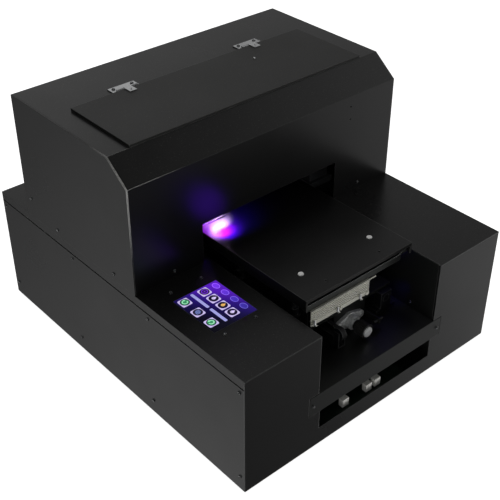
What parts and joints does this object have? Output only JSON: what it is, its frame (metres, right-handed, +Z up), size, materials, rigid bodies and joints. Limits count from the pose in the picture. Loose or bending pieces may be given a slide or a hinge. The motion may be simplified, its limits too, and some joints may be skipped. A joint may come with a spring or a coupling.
{
  "type": "flatbed uv printer",
  "caption": "Desktop flatbed UV printer: sheet-steel base with an open front bay, sliding and lifting table, hood over a belt-driven UV print head, hinged lid and keypad",
  "frame": {"origin": "on the floor, under the middle of the case", "axes": "+X right as seen from the front, +Y to the back, +Z up; the open bay and the table face -Y"},
  "size_m": [0.5032, 0.5902, 0.4079],
  "materials": {
    "black_coat": "satin black powder coat, fine texture",
    "lid_black": "matte black powder coat",
    "black_screws": "black oxide",
    "bright_steel": "nickel plated",
    "rubber": "matte",
    "key_panel": "glossy, lit from behind in blue",
    "key_white": "translucent white, lit from behind",
    "board": "green laminate",
    "polished_rod": "ground and polished",
    "cast_bracket": "machined",
    "motor_black": "black lacquer with steel shaft",
    "pulley": "machined",
    "belt": "black toothed belt",
    "carriage_black": "black powder coat",
    "bearing_metal": "cast and machined",
    "knob_black": "knurled",
    "table_black": "black anodised plate",
    "frame_alu": "sheet",
    "white_pad": "moulded",
    "brass": "machined",
    "ribbed_alu": "ribbed extrusion",
    "head_plastic": "moulded",
    "head_steel": "stainless nozzle plate",
    "lamp_body": "anodised heat sink",
    "lamp_glass": "quartz window, lit",
    "cap_grey": "moulded",
    "tank": "translucent",
    "psu_steel": "perforated cover",
    "cable": "PVC sleeving",
    "fan_plastic": "moulded",
    "socket_plastic": "moulded"
  },
  "bodies": {
    "case": {"base_pan": "black_coat", "rubber_feet": "rubber", "left_panel": "black_coat", "right_panel": "black_coat", "front_panel": "black_coat", "rear_panel": "black_coat", "deck_cover": "black_coat", "bay_tray": "black_coat", "bay_walls": "black_coat", "hood_cover": "black_coat", "hood_sides": "black_coat", "case_screws": "black_screws", "hinge_hood_leaves": "bright_steel", "keypad_panel": "key_panel", "keypad_board": "board", "guide_rods": "polished_rod", "bed_brackets": "cast_bracket", "bed_motor": "motor_black", "bed_belt": "belt", "gantry_beam": "carriage_black", "head_motor": "motor_black", "head_belt": "belt", "cap_station": "cap_grey", "ink_tanks": "tank", "main_board": "board", "power_supply": "psu_steel", "wiring": "cable", "fan_housing": "fan_plastic", "rear_sockets": "socket_plastic"},
    "lid": {"access_lid": "lid_black", "hinge_lid_leaves": "bright_steel"},
    "mode_key_1": {"mode_key_1": "key_white"},
    "mode_key_2": {"mode_key_2": "key_white"},
    "mode_key_3": {"mode_key_3": "key_white"},
    "mode_key_4": {"mode_key_4": "key_white"},
    "jog_key_1": {"jog_key_1": "key_white"},
    "jog_key_2": {"jog_key_2": "key_white"},
    "jog_key_3": {"jog_key_3": "key_white"},
    "rocker": {"power_rocker": "socket_plastic"},
    "fan": {"fan_rotor": "fan_plastic"},
    "bed_drive": {"bed_drive_pulley": "pulley"},
    "bed_idler": {"bed_idler_pulley": "pulley"},
    "carriage": {"bed_carriage": "carriage_black", "carriage_bearings": "bearing_metal", "flange_bearing": "bright_steel"},
    "knob": {"lift_knob": "knob_black", "lift_shaft": "polished_rod"},
    "screw": {"lift_screw": "polished_rod"},
    "table": {"table_top": "table_black", "table_frame": "frame_alu", "table_pads": "white_pad", "guide_posts": "polished_rod", "lift_nut": "brass", "front_bar": "ribbed_alu"},
    "head": {"head_carriage": "head_plastic", "print_head": "head_steel", "uv_lamp": "lamp_body", "lamp_lens": "lamp_glass"},
    "head_drive": {"head_drive_pulley": "pulley"},
    "head_idler": {"head_idler_pulley": "pulley"}
  },
  "joints": [
    {"name": "lid_hinge", "type": "hinge", "parent": "case", "child": "lid", "pos_m": [0, 0.1152, 0.404], "axis": [-1, 0, 0], "range_deg": [0, 105]},
    {"name": "mode_key_1_press", "type": "slide", "parent": "case", "child": "mode_key_1", "axis": [0, 0, -1], "range_m": [0, 0.0005], "stiffness_N_per_m": 1500},
    {"name": "mode_key_2_press", "type": "slide", "parent": "case", "child": "mode_key_2", "axis": [0, 0, -1], "range_m": [0, 0.0005], "stiffness_N_per_m": 1500},
    {"name": "mode_key_3_press", "type": "slide", "parent": "case", "child": "mode_key_3", "axis": [0, 0, -1], "range_m": [0, 0.0005], "stiffness_N_per_m": 1500},
    {"name": "mode_key_4_press", "type": "slide", "parent": "case", "child": "mode_key_4", "axis": [0, 0, -1], "range_m": [0, 0.0005], "stiffness_N_per_m": 1500},
    {"name": "jog_key_1_press", "type": "slide", "parent": "case", "child": "jog_key_1", "axis": [0, 0, -1], "range_m": [0, 0.0005], "stiffness_N_per_m": 1500},
    {"name": "jog_key_2_press", "type": "slide", "parent": "case", "child": "jog_key_2", "axis": [0, 0, -1], "range_m": [0, 0.0005], "stiffness_N_per_m": 1500},
    {"name": "jog_key_3_press", "type": "slide", "parent": "case", "child": "jog_key_3", "axis": [0, 0, -1], "range_m": [0, 0.0005], "stiffness_N_per_m": 1500},
    {"name": "rocker_tip", "type": "hinge", "parent": "case", "child": "rocker", "pos_m": [-0.15, 0.29, 0.046], "axis": [1, 0, 0], "range_deg": [0, 16]},
    {"name": "fan_spin", "type": "hinge", "parent": "case", "child": "fan", "pos_m": [0.185, 0.278, 0.11], "axis": [0, 1, 0], "continuous": true},
    {"name": "bed_slide", "type": "slide", "parent": "case", "child": "carriage", "axis": [0, 1, 0], "range_m": [-0.06, 0.166]},
    {"name": "bed_drive_turn", "type": "hinge", "parent": "case", "child": "bed_drive", "pos_m": [-0.026, 0.225, 0.123], "axis": [1, 0, 0], "range_deg": [-1084, 401]},
    {"name": "bed_idler_turn", "type": "hinge", "parent": "case", "child": "bed_idler", "pos_m": [-0.026, -0.24, 0.123], "axis": [1, 0, 0], "range_deg": [-1084, 401]},
    {"name": "table_lift", "type": "slide", "parent": "carriage", "child": "table", "axis": [0, 0, 1], "range_m": [-0.025, 0.002]},
    {"name": "knob_turn", "type": "hinge", "parent": "carriage", "child": "knob", "pos_m": [0.0125, -0.2, 0.1165], "axis": [0, 1, 0], "range_deg": [-95, 1130]},
    {"name": "screw_turn", "type": "hinge", "parent": "carriage", "child": "screw", "pos_m": [0.0125, -0.12, 0.1165], "axis": [0, 0, 1], "range_deg": [-95, 1130]},
    {"name": "head_slide", "type": "slide", "parent": "case", "child": "head", "axis": [1, 0, 0], "range_m": [-0.06, 0.278]},
    {"name": "head_drive_turn", "type": "hinge", "parent": "case", "child": "head_drive", "pos_m": [-0.205, 0.033, 0.3], "axis": [0, 1, 0], "range_deg": [-1805, 401]},
    {"name": "head_idler_turn", "type": "hinge", "parent": "case", "child": "head_idler", "pos_m": [0.205, 0.033, 0.3], "axis": [0, 1, 0], "range_deg": [-1805, 401]}
  ],
  "couplings": [
    {"joint": "bed_drive_turn", "follows": "bed_slide", "rad_per_m": -112.36},
    {"joint": "bed_idler_turn", "follows": "bed_slide", "rad_per_m": -112.36},
    {"joint": "knob_turn", "follows": "table_lift", "rad_per_m": -785.4},
    {"joint": "screw_turn", "follows": "table_lift", "rad_per_m": -785.4},
    {"joint": "head_drive_turn", "follows": "head_slide", "rad_per_m": -112.36},
    {"joint": "head_idler_turn", "follows": "head_slide", "rad_per_m": -112.36}
  ]
}
